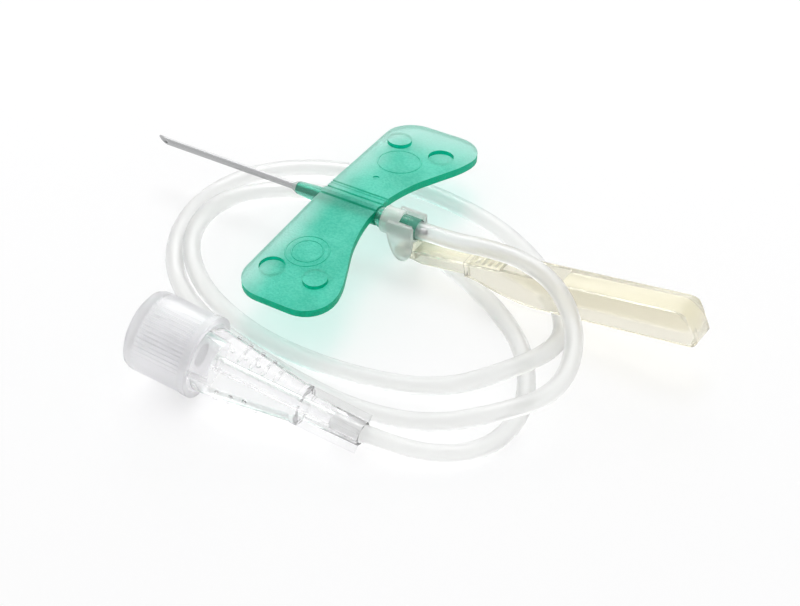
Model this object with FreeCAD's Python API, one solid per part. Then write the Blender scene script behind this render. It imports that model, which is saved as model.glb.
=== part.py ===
import FreeCAD, Part
import math
import os

# Winged infusion set. Millimetres. The needle lies along X: its tip is at -X, the hub's front
# face is at x = 0, and the needle's axis is y = 0, z = 0. +Z is up, and the set lies on a
# surface at z = SURFACE_Z.

os.makedirs("parts", exist_ok=True)
V = FreeCAD.Vector
X, Y, Z = V(1, 0, 0), V(0, 1, 0), V(0, 0, 1)

SURFACE_Z = -5.8

# How far a cutting shape reaches past what it cuts, and how deep a raised detail is rooted
OVERCUT = 1.0
ROOT = 0.1

# Steel needle, 21 gauge
NEEDLE_R = 0.40
NEEDLE_BORE_R = 0.26
NEEDLE_TIP_X = -19.0
BEVEL_LENGTH = 1.9
BOND_START_X = -0.45
BOND_LENGTH = 0.8
BOND_DEPTH = 0.02

# Soft infusion tube
TUBE_R = 1.0
LUMEN_R = 0.62

# Hub: the hard tube round the needle, widened at its rear to take the tube
HUB_NOSE_R = 0.72
HUB_R = 0.92
HUB_CONE_LENGTH = 2.4
HUB_REAR_WALL = 0.22
HUB_FLARE_LENGTH = 0.4
HUB_REAR_LENGTH = 5.2
TUBE_SOCKET_LENGTH = 3.4
NEEDLE_OVERHANG = 0.95

# Bead of adhesive where the needle enters the hub
BEAD_LENGTH = 0.6
BEAD_R = 0.66

# Wings and their sleeve
SLEEVE_R = 1.20
SLEEVE_REAR_GAP = 0.05
RIDGE_Y = 0.62
RIDGE_WIDTH = 0.28
RIDGE_TOP_Z = 1.28
PLATE_BOTTOM_Z = 0.05
PLATE_TOP_Z = 0.95
PLATE_FRONT_X = 3.3
PLATE_REAR_X = 10.5
FOLD_Y = 1.90
FOLD_Z = 0.55
FOLD_GAP = 0.06
WING_DROOP_DEG = 5.4
DISC_R = 1.40
DISC_HEIGHT = 0.45
RECESS_DEPTH = 0.50
RECESS_GAP = 0.06
DISC_FRONT = (5.2, 13.5)
DISC_REAR = (10.7, 13.45)
MARK_CENTRE = (7.4, 9.75)
MARK_R = 2.55
MARK_INNER_R = 1.85
MARK_WIDTH = 0.20
MARK_HEIGHT = 0.08

# Collar with the two ears of the shield's hinge. Everything on it is placed from the hub's rear.
COLLAR_SETBACK = 1.0
COLLAR_LENGTH = 4.0
COLLAR_BAND = 2.2
COLLAR_WALL = 0.32
COLLAR_MOUTH_HALF = 1.1
EAR_INNER_Y = 1.30
EAR_OUTER_Y = 1.75
EAR_TOP_Z = 1.05
EAR_FRONT = -1.7
EAR_REAR = 1.55
HINGE_SETBACK = 2.7
HINGE_Z = -2.6
PIN_R = 0.30
PIN_CLEARANCE = 0.03
PIN_END_CLEARANCE = 0.05
PIN_LENGTH = 0.25

# Shield, drawn along its own length u from the hinge, with v up from it
SHIELD_TILT_DEG = 8.0
ARM_SIDE_CLEARANCE = 0.05
ARM_WALL = 0.30
ARM_TOP_V = 0.35
ARM_BOTTOM_V = -1.2
ARM_ROOF = 0.50
KNUCKLE_R = 0.75
BOX_HALF_WIDTH = 1.70
BOX_WALL = 0.42
BOX_START_U = 8.2
BOX_END_U = 36.3
BOX_TOP_V = 0.58
BOX_HEEL_V = -3.38
BOX_BOTTOM_V = -3.70
HEEL_LENGTH = 7.6
ROOF = 0.45
NOSE_WALL = 0.60
NOSE_ROUND = 1.5
NOSE_LEAN = 0.7
CHIN_ROUND = 1.3
NOSE_BEVEL = 0.5
TOP_BEVEL = 0.45
WINDOW_OFFSET = 4.4
WINDOW_LENGTH = 7.4
WINDOW_SLANT = 0.6
GRIPS = 5
GRIP_OFFSET = 0.4
GRIP_PITCH = 0.8
GRIP_LENGTH = 0.42
GRIP_RISE = 0.28

# Luer connector and screw cap, drawn along s from the cap's closed end
CAP_END_X = -0.74
CAP_END_Y = -29.40
CAP_END_Z = -0.21
AXIS_START = V(CAP_END_X, CAP_END_Y, CAP_END_Z)
AXIS_DIRECTION = V(0.9917, 0.0156, -0.1276)
CAP_R = 4.50
CAP_WALL = 0.60
CAP_LENGTH = 8.0
CAP_END_WALL = 0.95
CAP_DISH = 0.35
CAP_ROUND = 0.80
CAP_RIB_START = 1.5
CAP_RIBS = 56
CAP_RIB_DEPTH = 0.20
CAP_RIM_LENGTH = 0.7
CAP_RIM_RISE = 0.1
PLUG_LENGTH = 5.9
MOUTH_CLEARANCE = 0.3
LUER_MOUTH_R = 2.15
LUER_TAPER = 0.03
LUER_DEPTH = 8.0
LUER_CLEARANCE = 0.04
LUG_CLEARANCE = 0.15
LUG_LENGTH = 1.1
LUG_HALF_WIDTH = 1.6
NECK_R = 2.75
SHOULDER_LENGTH = 1.3
SHOULDER_SETBACK = 0.3
GRIP_CLEARANCE = 0.3
GRIP_BAND = 0.5
GRIP_END_R = 2.15
STEP_S = 19.5
STEP_LENGTH = 0.6
TAIL_S = 27.1
TAIL_FRONT_R = 1.45
TAIL_END_R = 1.32
TAIL_RIBS = 4
TAIL_RIB_TURN_DEG = 45
TAIL_RIB_R = 2.25
TAIL_RIB_END_R = 2.18
TAIL_RIB_WIDTH = 0.5
DOT_R = 0.30
DOT_RISE = 0.2
DOT_PITCH = 1.55
DOT_OFFSET = 4.1
DOT_ROWS = 8
TUBE_SEAT_DEPTH = 3.5
FLUID_R = 0.6

# Places that follow from the sizes above
HUB_REAR_X = PLATE_REAR_X + SLEEVE_REAR_GAP + HUB_REAR_LENGTH
TUBE_START_X = HUB_REAR_X - TUBE_SOCKET_LENGTH
HUB_REAR_R = TUBE_R + HUB_REAR_WALL
NEEDLE_END_X = HUB_REAR_X + NEEDLE_OVERHANG
COLLAR_R = HUB_REAR_R + COLLAR_WALL
COLLAR_FRONT_X = PLATE_REAR_X + COLLAR_SETBACK
COLLAR_REAR_X = COLLAR_FRONT_X + COLLAR_LENGTH
HINGE_X = COLLAR_FRONT_X + HINGE_SETBACK
ARM_HALF_WIDTH = EAR_INNER_Y - ARM_SIDE_CLEARANCE
CAP_BORE_R = CAP_R - CAP_WALL
CAP_FLOOR_S = CAP_DISH + CAP_END_WALL
MOUTH_S = CAP_FLOOR_S + MOUTH_CLEARANCE
GRIP_R = CAP_BORE_R - GRIP_CLEARANCE
SHOULDER_S = CAP_LENGTH + SHOULDER_SETBACK
GRIP_S = SHOULDER_S + GRIP_BAND
SOCKET_END_S = MOUTH_S + LUER_DEPTH
SEAT_S = TAIL_S - TUBE_SEAT_DEPTH

# A wing's outline: (x, y) after its front root corner, one point for a line, two for an arc
WING_OUTLINE = [
    [(2.75, 14.9)],
    [(3.72, 17.3), (6.6, 18.35)],
    [(10.6, 18.5)],
    [(13.15, 17.35), (14.05, 14.6)],
    [(13.95, 13.2), (13.45, 11.9)],
    [(12.05, 8.3)],
    [(10.95, 5.1), (PLATE_REAR_X, FOLD_Y + FOLD_GAP)],
]

# An ear's outline below its straight top, as (x, z) from the hinge
EAR_OUTLINE = [
    [(EAR_REAR, 1.2)],
    [(1.35, 0.0), (0.85, -0.92)],
    [(0.3, -1.02), (-0.25, -0.92)],
    [(-1.0, -0.3), (-1.35, 0.6)],
    [(EAR_FRONT, 2.6)],
]

# Control points of the tube's route, from the hub's socket to its seat in the connector
ROUTE = [
    (TUBE_START_X, 0.0, 0.0), (19.6, 0.0, 0.0), (24.6, -0.1, 1.0), (30.0, -0.9, 1.7),
    (35.4, -3.3, 1.4), (39.8, -8.0, -0.3), (41.0, -14.0, -2.4), (37.4, -20.1, -2.4),
    (30.7, -23.9, -4.2), (22.8, -24.9, -4.8), (14.7, -24.0, -4.8), (6.6, -22.2, -4.8),
    (-1.2, -19.5, -4.8), (-8.1, -13.9, -4.8), (-11.9, -5.4, -4.8), (-10.9, 3.6, -4.8),
    (-5.0, 9.8, -4.8), (3.7, 12.4, -4.8), (12.9, 12.3, -4.8), (21.6, 10.1, -4.8),
    (29.4, 5.2, -4.8), (34.9, -1.4, -4.8), (37.0, -8.0, -2.6), (34.6, -13.5, -2.5),
    (29.0, -17.7, -4.5), (21.4, -19.9, -4.8), (13.4, -20.5, -4.8), (5.5, -19.4, -4.8),
    (-2.7, -15.9, -4.6), (-8.6, -9.8, -4.0), (-9.7, -1.8, -4.0), (-5.0, 4.7, -4.8),
    (2.8, 6.8, -4.8), (12.1, 4.4, -4.8), (21.7, 0.4, -4.8), (29.8, -4.2, -4.8),
    (35.0, -9.7, -4.8), (38.4, -17.4, -4.8), (37.3, -24.7, -4.8),
]
LAST_RUN = 4.4


def save(name, shape):
    """Write one piece as a STEP file."""
    shape.exportStep("parts/" + name + ".step")
    print(name, "volume", round(shape.Volume, 2), "valid", shape.isValid(), len(shape.Solids))


def face_of(corners):
    """A flat face with straight sides."""
    return Part.Face(Part.makePolygon(corners + corners[:1]))


def revolve(profile):
    """Turn a closed profile of (x, radius) points about X."""
    return face_of([V(x, 0, r) for x, r in profile]).revolve(V(0, 0, 0), X, 360)


def prism_y(points, y0, y1):
    """Extrude a polygon of (x, z) points from y0 to y1."""
    return face_of([V(x, y0, z) for x, z in points]).extrude(V(0, y1 - y0, 0))


def block(x0, x1, y0, y1, z0, z1):
    return Part.makeBox(x1 - x0, y1 - y0, z1 - z0, V(x0, y0, z0))


def rod_x(radius, x0, x1):
    return Part.makeCylinder(radius, x1 - x0, V(x0, 0, 0), X)


def rod_y(radius, half_length):
    """A rod along Y through the origin."""
    return Part.makeCylinder(radius, 2 * half_length, V(0, -half_length, 0), Y)


def wire_of(start, steps):
    """A closed wire: each step is an end point, or a middle and an end point of an arc."""
    edges = []
    here = start
    for step in steps:
        if len(step) == 1:
            edges.append(Part.LineSegment(here, step[0]).toShape())
        else:
            edges.append(Part.Arc(here, step[0], step[1]).toShape())
        here = step[-1]
    return Part.Wire(edges)


# Needle: a thin steel tube, cut slantwise at its tip, with a shallow waist where it is bonded
bond_end_x = BOND_START_X + BOND_LENGTH
needle = revolve([
    (NEEDLE_TIP_X, NEEDLE_BORE_R), (NEEDLE_TIP_X, NEEDLE_R), (BOND_START_X, NEEDLE_R),
    ((BOND_START_X + bond_end_x) / 2, NEEDLE_R - BOND_DEPTH), (bond_end_x, NEEDLE_R),
    (NEEDLE_END_X, NEEDLE_R), (NEEDLE_END_X, NEEDLE_BORE_R),
])
slope = 2 * NEEDLE_R / BEVEL_LENGTH
low_y = -NEEDLE_R - slope * OVERCUT
bevel_cut = face_of([
    V(NEEDLE_TIP_X - OVERCUT, NEEDLE_R + slope * OVERCUT, -OVERCUT),
    V(NEEDLE_TIP_X + BEVEL_LENGTH + OVERCUT, low_y, -OVERCUT),
    V(NEEDLE_TIP_X - OVERCUT, low_y, -OVERCUT),
])
needle = needle.cut(bevel_cut.extrude(V(0, 0, 2 * OVERCUT)))
save("needle", needle)

# Bead: a small cone of adhesive on the hub's front face
bead_rise = BEAD_R - NEEDLE_R
save("bead", revolve([
    (-BEAD_LENGTH, NEEDLE_R), (-BEAD_LENGTH, NEEDLE_R + 0.15 * bead_rise),
    (-0.5 * BEAD_LENGTH, NEEDLE_R + 0.4 * bead_rise),
    (-0.15 * BEAD_LENGTH, NEEDLE_R + 0.85 * bead_rise), (0, BEAD_R), (0, NEEDLE_R),
]))

# Hub: nose cone, body under the sleeve, and a wider rear with a socket for the tube
flare_x = PLATE_REAR_X + SLEEVE_REAR_GAP
save("hub", revolve([
    (0, NEEDLE_R), (0, HUB_NOSE_R), (HUB_CONE_LENGTH, HUB_R), (flare_x, HUB_R),
    (flare_x + HUB_FLARE_LENGTH, HUB_REAR_R), (HUB_REAR_X, HUB_REAR_R), (HUB_REAR_X, TUBE_R),
    (TUBE_START_X, TUBE_R), (TUBE_START_X, NEEDLE_R),
]))

# Sleeve: the middle of the soft wing moulding, with two small ridges over the hub
half = FOLD_Y - FOLD_GAP
rise = PLATE_TOP_Z - FOLD_Z
plate = face_of([
    V(PLATE_FRONT_X, -half, PLATE_BOTTOM_Z), V(PLATE_FRONT_X, half, PLATE_BOTTOM_Z),
    V(PLATE_FRONT_X, half, FOLD_Z), V(PLATE_FRONT_X, half - rise, PLATE_TOP_Z),
    V(PLATE_FRONT_X, -half + rise, PLATE_TOP_Z), V(PLATE_FRONT_X, -half, FOLD_Z),
]).extrude(V(PLATE_REAR_X - PLATE_FRONT_X, 0, 0))
sleeve = rod_x(SLEEVE_R, PLATE_FRONT_X, PLATE_REAR_X).fuse(plate)
for side in (-1, 1):
    near_y = side * RIDGE_Y - RIDGE_WIDTH / 2
    sleeve = sleeve.fuse(block(PLATE_FRONT_X, PLATE_REAR_X, near_y, near_y + RIDGE_WIDTH,
                               PLATE_TOP_Z - ROOT, RIDGE_TOP_Z))
sleeve = sleeve.cut(rod_x(HUB_R, PLATE_FRONT_X - OVERCUT, PLATE_REAR_X + OVERCUT))
save("wing_sleeve", sleeve.removeSplitter())


def wing(raised_at, recess_at, mark_radii):
    """The far wing (+Y), level, with one raised and one recessed disc."""
    inner = FOLD_Y + FOLD_GAP

    def at(x, y):
        return V(x, y, PLATE_BOTTOM_Z)

    steps = [[at(x, y) for x, y in step] for step in WING_OUTLINE]
    outline = wire_of(at(PLATE_FRONT_X, inner), steps + [[at(PLATE_FRONT_X, inner)]])
    body = Part.Face(outline).extrude(V(0, 0, PLATE_TOP_Z - PLATE_BOTTOM_Z))
    start_x = PLATE_FRONT_X - OVERCUT
    groove = face_of([
        V(start_x, inner - OVERCUT, FOLD_Z - OVERCUT), V(start_x, inner + OVERCUT, FOLD_Z + OVERCUT),
        V(start_x, inner - OVERCUT, FOLD_Z + OVERCUT),
    ])
    body = body.cut(groove.extrude(V(PLATE_REAR_X - PLATE_FRONT_X + 2 * OVERCUT, 0, 0)))
    raised = V(raised_at[0], raised_at[1], PLATE_TOP_Z - ROOT)
    body = body.fuse(Part.makeCylinder(DISC_R, DISC_HEIGHT + ROOT, raised, Z))
    recess = V(recess_at[0], recess_at[1], PLATE_TOP_Z - RECESS_DEPTH)
    body = body.cut(Part.makeCylinder(DISC_R + RECESS_GAP, RECESS_DEPTH + OVERCUT, recess, Z))
    for radius in mark_radii:
        foot = V(MARK_CENTRE[0], MARK_CENTRE[1], PLATE_TOP_Z - ROOT)
        ring = Part.makeCylinder(radius, ROOT + MARK_HEIGHT, foot, Z)
        body = body.fuse(ring.cut(Part.makeCylinder(radius - MARK_WIDTH, OVERCUT, foot, Z)))
    body.rotate(V(0, FOLD_Y, FOLD_Z), X, -WING_DROOP_DEG)
    return body


save("wing_far", wing(DISC_FRONT, DISC_REAR, [MARK_R]))
save("wing_near", wing(DISC_REAR, DISC_FRONT, [MARK_R, MARK_INNER_R]).mirror(V(0, 0, 0), Y))

# Collar: a clip on the hub's rear, closed in front and open above behind, an ear on each side
collar = rod_x(COLLAR_R, COLLAR_FRONT_X, COLLAR_REAR_X)


def ear_point(x, z):
    """A point of the ear's outline, given from the hinge."""
    return V(HINGE_X + x, EAR_INNER_Y, HINGE_Z + z)


top = EAR_TOP_Z - HINGE_Z
ear_steps = [[ear_point(x, z) for x, z in step] for step in EAR_OUTLINE]
ear = Part.Face(wire_of(ear_point(EAR_FRONT, top), [
    [ear_point(EAR_REAR, top)], *ear_steps, [ear_point(EAR_FRONT, top)],
])).extrude(V(0, EAR_OUTER_Y - EAR_INNER_Y, 0))
ear = ear.cut(Part.makeCylinder(
    PIN_R + PIN_CLEARANCE, PIN_LENGTH + PIN_END_CLEARANCE, ear_point(0, 0), Y))
collar = collar.fuse(ear).fuse(ear.mirror(V(0, 0, 0), Y))
collar = collar.cut(rod_x(HUB_REAR_R, COLLAR_FRONT_X - OVERCUT, COLLAR_REAR_X + OVERCUT))
collar = collar.cut(block(
    COLLAR_FRONT_X + COLLAR_BAND, COLLAR_REAR_X + OVERCUT, -COLLAR_MOUTH_HALF, COLLAR_MOUTH_HALF,
    0, COLLAR_R + OVERCUT,
))
save("collar", collar.removeSplitter())


def uv(u, v):
    return V(u, -BOX_HALF_WIDTH, v)


# Shield: a deep channel, open below, closed at its far end, on a narrow arm
heel_u = BOX_START_U + HEEL_LENGTH
belly = BOX_HEEL_V - ARM_BOTTOM_V
chin_u = BOX_END_U - CHIN_ROUND
below = BOX_BOTTOM_V - OVERCUT
above = BOX_TOP_V + OVERCUT
brow_u = BOX_END_U - NOSE_LEAN
foot_v = BOX_BOTTOM_V + CHIN_ROUND
lean = math.atan2(NOSE_LEAN, BOX_TOP_V - foot_v)
half_corner = (math.pi / 2 + lean) / 2
inset = NOSE_ROUND * (1 - math.sin(half_corner)) / math.cos(half_corner)
box_side = wire_of(uv(BOX_START_U, BOX_TOP_V), [
    [uv(brow_u - NOSE_ROUND, BOX_TOP_V)],
    [uv(brow_u - inset * math.cos(half_corner), BOX_TOP_V - inset * math.sin(half_corner)),
     uv(brow_u + NOSE_ROUND * math.sin(lean), BOX_TOP_V - NOSE_ROUND * math.cos(lean))],
    [uv(BOX_END_U, foot_v)],
    [uv(BOX_END_U - 0.25 * CHIN_ROUND, BOX_BOTTOM_V + 0.25 * CHIN_ROUND), uv(chin_u, BOX_BOTTOM_V)],
    [uv(heel_u, BOX_HEEL_V)],
    [uv(BOX_START_U + 0.51 * HEEL_LENGTH, ARM_BOTTOM_V + 0.58 * belly),
     uv(BOX_START_U + 0.13 * HEEL_LENGTH, ARM_BOTTOM_V + 0.02 * belly)],
    [uv(BOX_START_U, ARM_BOTTOM_V)],
    [uv(BOX_START_U, BOX_TOP_V)],
])
box = Part.Face(box_side).extrude(V(0, 2 * BOX_HALF_WIDTH, 0))
front_slope = math.tan(lean)
front_u = BOX_END_U + front_slope * (foot_v - below)
for side in (-1, 1):
    wide = side * (BOX_HALF_WIDTH + OVERCUT)
    nose = face_of([
        V(front_u - NOSE_BEVEL - OVERCUT, wide, below),
        V(front_u + OVERCUT, side * (BOX_HALF_WIDTH - NOSE_BEVEL - OVERCUT), below),
        V(front_u + OVERCUT, wide, below),
    ])
    box = box.cut(nose.extrude(V(-front_slope * (above - below), 0, above - below)))
    edge = face_of([
        V(0, side * (BOX_HALF_WIDTH - TOP_BEVEL - OVERCUT), BOX_TOP_V + OVERCUT),
        V(0, wide, BOX_TOP_V - TOP_BEVEL - OVERCUT), V(0, wide, BOX_TOP_V + OVERCUT),
    ])
    box = box.cut(edge.extrude(V(BOX_END_U + OVERCUT, 0, 0)))

inner_y = BOX_HALF_WIDTH - BOX_WALL
roof_v = BOX_TOP_V - ROOF
end_u = BOX_END_U - NOSE_WALL
channel_u = BOX_START_U + ROOF
box = box.cut(prism_y([
    (channel_u, below), (channel_u, roof_v), (end_u - NOSE_LEAN - 0.7 * NOSE_ROUND, roof_v),
    (end_u - front_slope * (roof_v - NOSE_ROUND - foot_v), roof_v - NOSE_ROUND), (end_u, foot_v),
    (end_u - 0.25 * CHIN_ROUND, BOX_BOTTOM_V), (end_u - 0.25 * CHIN_ROUND, below),
], -inner_y, inner_y))
window_u = BOX_START_U + WINDOW_OFFSET
window_end_u = window_u + WINDOW_LENGTH
box = box.cut(prism_y([
    (window_u, roof_v - ROOT), (window_u, above), (window_end_u + WINDOW_SLANT, above),
    (window_end_u, roof_v - ROOT),
], -inner_y, inner_y))
for k in range(GRIPS):
    u = BOX_START_U + GRIP_OFFSET + GRIP_PITCH * k
    step = [(u, BOX_TOP_V - ROOT), (u + GRIP_LENGTH, BOX_TOP_V - ROOT),
            (u + 0.7 * GRIP_LENGTH, BOX_TOP_V + GRIP_RISE)]
    box = box.fuse(prism_y(step, -BOX_HALF_WIDTH + TOP_BEVEL, BOX_HALF_WIDTH - TOP_BEVEL))

arm_end_u = BOX_START_U + 2 * ROOT
arm_inner = ARM_HALF_WIDTH - ARM_WALL
arm_roof_v = ARM_TOP_V - ARM_ROOF
fork_u = 2 * KNUCKLE_R
arm = prism_y([
    (0, ARM_TOP_V), (arm_end_u, ARM_TOP_V), (arm_end_u, ARM_BOTTOM_V), (fork_u + OVERCUT, ARM_BOTTOM_V),
    (fork_u, 0.75 * ARM_BOTTOM_V), (0, 0.5 * ARM_BOTTOM_V),
], -ARM_HALF_WIDTH, ARM_HALF_WIDTH)
arm = arm.cut(prism_y([
    (fork_u, below), (fork_u, arm_roof_v), (arm_end_u + OVERCUT, arm_roof_v),
    (arm_end_u + OVERCUT, below),
], -arm_inner, arm_inner))
mouth = prism_y([
    (BOX_START_U - OVERCUT, below), (BOX_START_U - OVERCUT, arm_roof_v),
    (BOX_START_U + OVERCUT, arm_roof_v), (BOX_START_U + OVERCUT, below),
], -arm_inner, arm_inner)
knuckle = rod_y(KNUCKLE_R, ARM_HALF_WIDTH)
pins = rod_y(PIN_R, EAR_INNER_Y + PIN_LENGTH)
shield = box.cut(mouth).fuse(arm).fuse(knuckle).fuse(pins).removeSplitter()
shield.rotate(V(0, 0, 0), Y, -SHIELD_TILT_DEG)
shield.translate(V(HINGE_X, 0, HINGE_Z))
save("shield", shield)
print("hinge at x", round(HINGE_X, 3), "tube starts at x", round(TUBE_START_X, 3))

# Luer connector and cap, first along X, then laid along their own axis
place = FreeCAD.Placement(AXIS_START, FreeCAD.Rotation(X, AXIS_DIRECTION))


def luer_r(s):
    """Radius of the tapered socket at s."""
    return LUER_MOUTH_R - LUER_TAPER * (s - MOUTH_S)


def body_r(s):
    """Outer radius of the connector's tapered grip at s."""
    return GRIP_R - (GRIP_R - GRIP_END_R) * (s - GRIP_S) / (STEP_S - GRIP_S)


step_end_s = STEP_S + STEP_LENGTH
connector = revolve([
    (MOUTH_S, luer_r(MOUTH_S)), (MOUTH_S, NECK_R), (SHOULDER_S - SHOULDER_LENGTH, NECK_R),
    (SHOULDER_S, GRIP_R), (GRIP_S, GRIP_R), (STEP_S, GRIP_END_R), (step_end_s, GRIP_END_R),
    (step_end_s, TAIL_FRONT_R), (TAIL_S, TAIL_END_R), (TAIL_S, TUBE_R), (SEAT_S, TUBE_R),
    (SEAT_S, FLUID_R), (SOCKET_END_S, FLUID_R), (SOCKET_END_S, luer_r(SOCKET_END_S)),
])
rib_start_s = STEP_S + STEP_LENGTH / 2
rib_inner_r = (TUBE_R + TAIL_END_R) / 2
for k in range(TAIL_RIBS):
    rib = prism_y([
        (rib_start_s, rib_inner_r), (rib_start_s, TAIL_RIB_R), (TAIL_S, TAIL_RIB_END_R),
        (TAIL_S, rib_inner_r),
    ], -TAIL_RIB_WIDTH / 2, TAIL_RIB_WIDTH / 2)
    rib.rotate(V(0, 0, 0), X, 360 * k / TAIL_RIBS + TAIL_RIB_TURN_DEG)
    connector = connector.fuse(rib)
for k in range(DOT_ROWS):
    count = 3 + k % 2
    for n in range(count):
        s = GRIP_S + DOT_OFFSET + DOT_PITCH * (n - (count - 1) / 2)
        dot = Part.makeCylinder(DOT_R, DOT_R + DOT_RISE, V(s, 0, body_r(s) - DOT_R), Z)
        dot.rotate(V(0, 0, 0), X, 360 * k / DOT_ROWS + 10)
        connector = connector.fuse(dot)
lug_r = CAP_BORE_R - LUG_CLEARANCE
lug_end_s = MOUTH_S + LUG_LENGTH
lug_ring = revolve([
    (MOUTH_S, NECK_R - ROOT), (MOUTH_S, lug_r), (lug_end_s, lug_r), (lug_end_s, NECK_R - ROOT),
])
lugs = lug_ring.common(block(0, lug_end_s + OVERCUT, -LUG_HALF_WIDTH, LUG_HALF_WIDTH, -CAP_R, CAP_R))
connector = connector.fuse(lugs).removeSplitter()
connector.Placement = place
save("connector", connector)

# Cap: a rounded end, a ribbed grip, a smooth rim, and inside it the plug that seals the socket
rim_s = CAP_LENGTH - CAP_RIM_LENGTH
foot_s = CAP_ROUND + ROOT
cap = revolve([
    (CAP_DISH, 0), (CAP_DISH, CAP_R - 1.9), (0, CAP_R - 1.6), (0, CAP_R - CAP_ROUND),
    (0.3 * CAP_ROUND, CAP_R - 0.35 * CAP_ROUND), (CAP_ROUND, CAP_R), (CAP_RIB_START + ROOT, CAP_R),
    (CAP_RIB_START + ROOT, 0),
])
rim = []
for k in range(2 * CAP_RIBS):
    radius = CAP_R if k % 2 == 0 else CAP_R - CAP_RIB_DEPTH
    angle = math.pi * k / CAP_RIBS
    rim.append(V(CAP_RIB_START, radius * math.cos(angle), radius * math.sin(angle)))
cap = cap.fuse(face_of(rim).extrude(V(rim_s + ROOT - CAP_RIB_START, 0, 0)))
cap = cap.fuse(rod_x(CAP_R + CAP_RIM_RISE, rim_s, CAP_LENGTH))
cap = cap.cut(rod_x(CAP_BORE_R, CAP_FLOOR_S, CAP_LENGTH + OVERCUT))
plug_start_s = CAP_FLOOR_S - ROOT
plug_end_s = CAP_FLOOR_S + PLUG_LENGTH
cap = cap.fuse(revolve([
    (plug_start_s, 0), (plug_start_s, luer_r(plug_start_s) - LUER_CLEARANCE),
    (plug_end_s, luer_r(plug_end_s) - LUER_CLEARANCE), (plug_end_s, 0),
])).removeSplitter()
cap.Placement = place
save("cap", cap)

# Tube: straight runs joined by tangent arcs
tail_end = place.multVec(V(TAIL_S + LAST_RUN, 0, 0))
seat_end = place.multVec(V(SEAT_S, 0, 0))
corners = [V(*p) for p in ROUTE] + [tail_end, seat_end]
print("last corners", [tuple(round(c, 2) for c in p) for p in corners[-2:]])
edges = []
radii = []
here = corners[0]
for before, corner, after in zip(corners, corners[1:], corners[2:]):
    back = before - corner
    ahead = after - corner
    shorter = min(back.Length, ahead.Length)
    back.normalize()
    ahead.normalize()
    trim = 0.45 * shorter
    half_turn = (math.pi - back.getAngle(ahead)) / 2
    radius = trim / math.tan(half_turn)
    radii.append(round(radius, 1))
    start = corner + back * trim
    end = corner + ahead * trim
    inward = back + ahead
    inward.normalize()
    centre = corner + inward * (radius / math.cos(half_turn))
    middle = centre - inward * radius
    edges.append(Part.LineSegment(here, start).toShape())
    edges.append(Part.Arc(start, middle, end).toShape())
    here = end
edges.append(Part.LineSegment(here, corners[-1]).toShape())
path = Part.Wire(edges)
section = Part.Wire([Part.Circle(corners[0], corners[1] - corners[0], TUBE_R).toShape()])
tube = path.makePipeShell([section], True, True)
if not tube.Solids:
    tube = Part.Solid(tube)
print("tube radii", radii, "smallest", min(radii))
print("tube length", round(path.Length, 1), "volume", round(tube.Volume, 1),
      "section times length", round(math.pi * TUBE_R ** 2 * path.Length, 1))
tube = tube.cut(rod_x(LUMEN_R, TUBE_START_X - OVERCUT, NEEDLE_END_X))
save("tube", tube)
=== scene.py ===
# %% [markdown]
# # A winged infusion set in Blender
# This is a small medical part: a steel needle in a green winged moulding, a pale yellow safety
# shield, and a long clear tube that ends in a connector with a screw cap. The CAD model holds its
# sizes and its moving joints. Here every visible piece is made again with soft edges, real walls
# and a finish. We start by loading the CAD model as a fixed frame, and keep its outer box, so that
# the finished pieces can be compared with it at the end.

import math

import bmesh
import bpy
from mathutils import Matrix, Vector


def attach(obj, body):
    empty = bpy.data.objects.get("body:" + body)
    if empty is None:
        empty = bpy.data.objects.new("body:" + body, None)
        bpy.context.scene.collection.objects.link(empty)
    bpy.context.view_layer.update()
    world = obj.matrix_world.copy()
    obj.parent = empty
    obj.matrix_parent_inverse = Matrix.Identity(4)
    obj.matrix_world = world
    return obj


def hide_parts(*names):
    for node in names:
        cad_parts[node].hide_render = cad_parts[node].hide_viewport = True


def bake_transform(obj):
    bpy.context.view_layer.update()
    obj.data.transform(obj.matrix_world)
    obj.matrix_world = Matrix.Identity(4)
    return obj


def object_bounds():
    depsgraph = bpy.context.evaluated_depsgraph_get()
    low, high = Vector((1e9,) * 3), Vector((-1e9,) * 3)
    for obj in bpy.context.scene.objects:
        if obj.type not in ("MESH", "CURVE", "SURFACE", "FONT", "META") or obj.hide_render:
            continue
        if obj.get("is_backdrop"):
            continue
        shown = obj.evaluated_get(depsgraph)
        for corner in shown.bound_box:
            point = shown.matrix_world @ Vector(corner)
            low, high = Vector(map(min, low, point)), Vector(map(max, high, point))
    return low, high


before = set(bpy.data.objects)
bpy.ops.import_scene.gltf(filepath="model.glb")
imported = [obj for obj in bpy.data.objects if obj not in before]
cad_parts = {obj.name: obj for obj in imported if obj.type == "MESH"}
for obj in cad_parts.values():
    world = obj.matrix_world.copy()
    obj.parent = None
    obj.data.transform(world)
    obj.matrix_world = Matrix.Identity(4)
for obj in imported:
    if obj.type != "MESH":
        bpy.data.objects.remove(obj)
cad_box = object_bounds()
scene = bpy.context.scene
MM = 0.001
print("CAD nodes:", sorted(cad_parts))

# %% [markdown]
# ## Camera
# A product photograph like this is taken with a long lens from a little above, which keeps the
# lines nearly parallel. The camera is placed by its angle round the object, its height angle and
# its distance from the point that it looks at. That is easier to reason about than a position and
# three turns, and a tracking turn then aims it.

# %% Make the camera
AZIMUTH = math.radians(30.81)
ELEVATION = math.radians(37.96)
DISTANCE = 319.24 * MM
LOOK_AT = Vector((22.563, -15.551, 3.0)) * MM

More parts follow.
